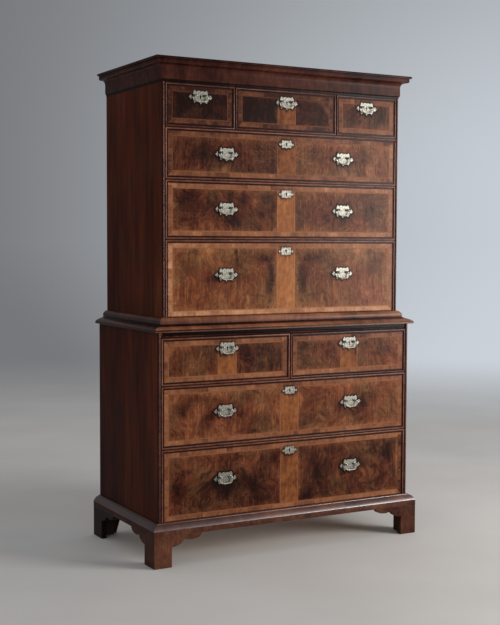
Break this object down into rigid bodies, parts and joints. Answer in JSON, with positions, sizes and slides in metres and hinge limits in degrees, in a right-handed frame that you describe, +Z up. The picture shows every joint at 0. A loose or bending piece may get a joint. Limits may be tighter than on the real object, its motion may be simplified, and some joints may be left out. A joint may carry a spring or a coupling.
{
  "type": "chest on chest",
  "caption": "Walnut chest on chest: narrower upper case of short and long drawers on a wider lower case with bracket feet, bat-wing brasses with swinging bails.",
  "frame": {"origin": "on the floor, below the middle of the whole piece's outline in plan", "axes": "+Z up, the drawer fronts face -Y, +X is to the right as seen from the front"},
  "size_m": [1.106, 0.561, 1.75],
  "materials": {
    "walnut_veneer": "waxed figured walnut veneer with crossbanding on pine drawers",
    "walnut_side": "waxed straight-grained walnut",
    "walnut_moulding": "waxed cross-grained walnut",
    "pine": "bare aged pine",
    "lacquered_brass": "old pale brass, worn bright on the high parts"
  },
  "bodies": {
    "case": {"foot_front_left": "walnut_moulding", "foot_front_right": "walnut_moulding", "foot_back_left": "walnut_moulding", "foot_back_right": "walnut_moulding", "base_moulding": "walnut_moulding", "lower_side_left": "walnut_side", "lower_side_right": "walnut_side", "lower_back": "pine", "waist_moulding": "walnut_moulding", "lower_divider_1": "walnut_moulding", "lower_divider_2": "walnut_moulding", "upper_side_left": "walnut_side", "upper_side_right": "walnut_side", "upper_bottom_board": "pine", "upper_top_board": "walnut_moulding", "upper_back": "pine", "cornice": "walnut_moulding", "upper_divider_1": "walnut_moulding", "upper_divider_2": "walnut_moulding", "upper_divider_3": "walnut_moulding"},
    "drawer_lower_long_2": {"drawer_lower_long_2": "walnut_veneer", "plate_lower_long_2_left": "lacquered_brass", "plate_lower_long_2_right": "lacquered_brass"},
    "bail_lower_long_2_left": {"bail_lower_long_2_left": "lacquered_brass"},
    "bail_lower_long_2_right": {"bail_lower_long_2_right": "lacquered_brass"},
    "drawer_lower_long_1": {"drawer_lower_long_1": "walnut_veneer", "plate_lower_long_1_left": "lacquered_brass", "plate_lower_long_1_right": "lacquered_brass"},
    "bail_lower_long_1_left": {"bail_lower_long_1_left": "lacquered_brass"},
    "bail_lower_long_1_right": {"bail_lower_long_1_right": "lacquered_brass"},
    "drawer_lower_left": {"drawer_lower_left": "walnut_veneer", "plate_lower_left": "lacquered_brass"},
    "bail_lower_left": {"bail_lower_left": "lacquered_brass"},
    "drawer_lower_right": {"drawer_lower_right": "walnut_veneer", "plate_lower_right": "lacquered_brass"},
    "bail_lower_right": {"bail_lower_right": "lacquered_brass"},
    "drawer_upper_long_3": {"drawer_upper_long_3": "walnut_veneer", "plate_upper_long_3_left": "lacquered_brass", "plate_upper_long_3_right": "lacquered_brass"},
    "bail_upper_long_3_left": {"bail_upper_long_3_left": "lacquered_brass"},
    "bail_upper_long_3_right": {"bail_upper_long_3_right": "lacquered_brass"},
    "drawer_upper_long_2": {"drawer_upper_long_2": "walnut_veneer", "plate_upper_long_2_left": "lacquered_brass", "plate_upper_long_2_right": "lacquered_brass"},
    "bail_upper_long_2_left": {"bail_upper_long_2_left": "lacquered_brass"},
    "bail_upper_long_2_right": {"bail_upper_long_2_right": "lacquered_brass"},
    "drawer_upper_long_1": {"drawer_upper_long_1": "walnut_veneer", "plate_upper_long_1_left": "lacquered_brass", "plate_upper_long_1_right": "lacquered_brass"},
    "bail_upper_long_1_left": {"bail_upper_long_1_left": "lacquered_brass"},
    "bail_upper_long_1_right": {"bail_upper_long_1_right": "lacquered_brass"},
    "drawer_upper_left": {"drawer_upper_left": "walnut_veneer", "plate_upper_left": "lacquered_brass"},
    "bail_upper_left": {"bail_upper_left": "lacquered_brass"},
    "drawer_upper_middle": {"drawer_upper_middle": "walnut_veneer", "plate_upper_middle": "lacquered_brass"},
    "bail_upper_middle": {"bail_upper_middle": "lacquered_brass"},
    "drawer_upper_right": {"drawer_upper_right": "walnut_veneer", "plate_upper_right": "lacquered_brass"},
    "bail_upper_right": {"bail_upper_right": "lacquered_brass"}
  },
  "joints": [
    {"name": "slide_lower_long_2", "type": "slide", "parent": "case", "child": "drawer_lower_long_2", "axis": [0, -1, 0], "range_m": [0, 0.38]},
    {"name": "slide_lower_long_1", "type": "slide", "parent": "case", "child": "drawer_lower_long_1", "axis": [0, -1, 0], "range_m": [0, 0.38]},
    {"name": "slide_lower_left", "type": "slide", "parent": "case", "child": "drawer_lower_left", "axis": [0, -1, 0], "range_m": [0, 0.38]},
    {"name": "slide_lower_right", "type": "slide", "parent": "case", "child": "drawer_lower_right", "axis": [0, -1, 0], "range_m": [0, 0.38]},
    {"name": "slide_upper_long_3", "type": "slide", "parent": "case", "child": "drawer_upper_long_3", "axis": [0, -1, 0], "range_m": [0, 0.355]},
    {"name": "slide_upper_long_2", "type": "slide", "parent": "case", "child": "drawer_upper_long_2", "axis": [0, -1, 0], "range_m": [0, 0.355]},
    {"name": "slide_upper_long_1", "type": "slide", "parent": "case", "child": "drawer_upper_long_1", "axis": [0, -1, 0], "range_m": [0, 0.355]},
    {"name": "slide_upper_left", "type": "slide", "parent": "case", "child": "drawer_upper_left", "axis": [0, -1, 0], "range_m": [0, 0.355]},
    {"name": "slide_upper_middle", "type": "slide", "parent": "case", "child": "drawer_upper_middle", "axis": [0, -1, 0], "range_m": [0, 0.355]},
    {"name": "slide_upper_right", "type": "slide", "parent": "case", "child": "drawer_upper_right", "axis": [0, -1, 0], "range_m": [0, 0.355]},
    {"name": "swing_lower_long_2_left", "type": "hinge", "parent": "drawer_lower_long_2", "child": "bail_lower_long_2_left", "pos_m": [-0.265, -0.2629, 0.2893], "axis": [-1, 0, 0], "range_deg": [-14, 195]},
    {"name": "swing_lower_long_2_right", "type": "hinge", "parent": "drawer_lower_long_2", "child": "bail_lower_long_2_right", "pos_m": [0.265, -0.2629, 0.2893], "axis": [-1, 0, 0], "range_deg": [-14, 195]},
    {"name": "swing_lower_long_1_left", "type": "hinge", "parent": "drawer_lower_long_1", "child": "bail_lower_long_1_left", "pos_m": [-0.265, -0.2629, 0.5297], "axis": [-1, 0, 0], "range_deg": [-14, 195]},
    {"name": "swing_lower_long_1_right", "type": "hinge", "parent": "drawer_lower_long_1", "child": "bail_lower_long_1_right", "pos_m": [0.265, -0.2629, 0.5297], "axis": [-1, 0, 0], "range_deg": [-14, 195]},
    {"name": "swing_lower_left", "type": "hinge", "parent": "drawer_lower_left", "child": "bail_lower_left", "pos_m": [-0.2574, -0.2629, 0.7511], "axis": [-1, 0, 0], "range_deg": [-14, 195]},
    {"name": "swing_lower_right", "type": "hinge", "parent": "drawer_lower_right", "child": "bail_lower_right", "pos_m": [0.2574, -0.2629, 0.7511], "axis": [-1, 0, 0], "range_deg": [-14, 195]},
    {"name": "swing_upper_long_3_left", "type": "hinge", "parent": "drawer_upper_long_3", "child": "bail_upper_long_3_left", "pos_m": [-0.245, -0.2309, 1.0097], "axis": [-1, 0, 0], "range_deg": [-14, 195]},
    {"name": "swing_upper_long_3_right", "type": "hinge", "parent": "drawer_upper_long_3", "child": "bail_upper_long_3_right", "pos_m": [0.245, -0.2309, 1.0097], "axis": [-1, 0, 0], "range_deg": [-14, 195]},
    {"name": "swing_upper_long_2_left", "type": "hinge", "parent": "drawer_upper_long_2", "child": "bail_upper_long_2_left", "pos_m": [-0.245, -0.2309, 1.241], "axis": [-1, 0, 0], "range_deg": [-14, 195]},
    {"name": "swing_upper_long_2_right", "type": "hinge", "parent": "drawer_upper_long_2", "child": "bail_upper_long_2_right", "pos_m": [0.245, -0.2309, 1.241], "axis": [-1, 0, 0], "range_deg": [-14, 195]},
    {"name": "swing_upper_long_1_left", "type": "hinge", "parent": "drawer_upper_long_1", "child": "bail_upper_long_1_left", "pos_m": [-0.245, -0.2309, 1.43355], "axis": [-1, 0, 0], "range_deg": [-14, 195]},
    {"name": "swing_upper_long_1_right", "type": "hinge", "parent": "drawer_upper_long_1", "child": "bail_upper_long_1_right", "pos_m": [0.245, -0.2309, 1.43355], "axis": [-1, 0, 0], "range_deg": [-14, 195]},
    {"name": "swing_upper_left", "type": "hinge", "parent": "drawer_upper_left", "child": "bail_upper_left", "pos_m": [-0.34835, -0.2309, 1.6261], "axis": [-1, 0, 0], "range_deg": [-14, 195]},
    {"name": "swing_upper_middle", "type": "hinge", "parent": "drawer_upper_middle", "child": "bail_upper_middle", "pos_m": [0, -0.2309, 1.6261], "axis": [-1, 0, 0], "range_deg": [-14, 195]},
    {"name": "swing_upper_right", "type": "hinge", "parent": "drawer_upper_right", "child": "bail_upper_right", "pos_m": [0.34835, -0.2309, 1.6261], "axis": [-1, 0, 0], "range_deg": [-14, 195]}
  ]
}
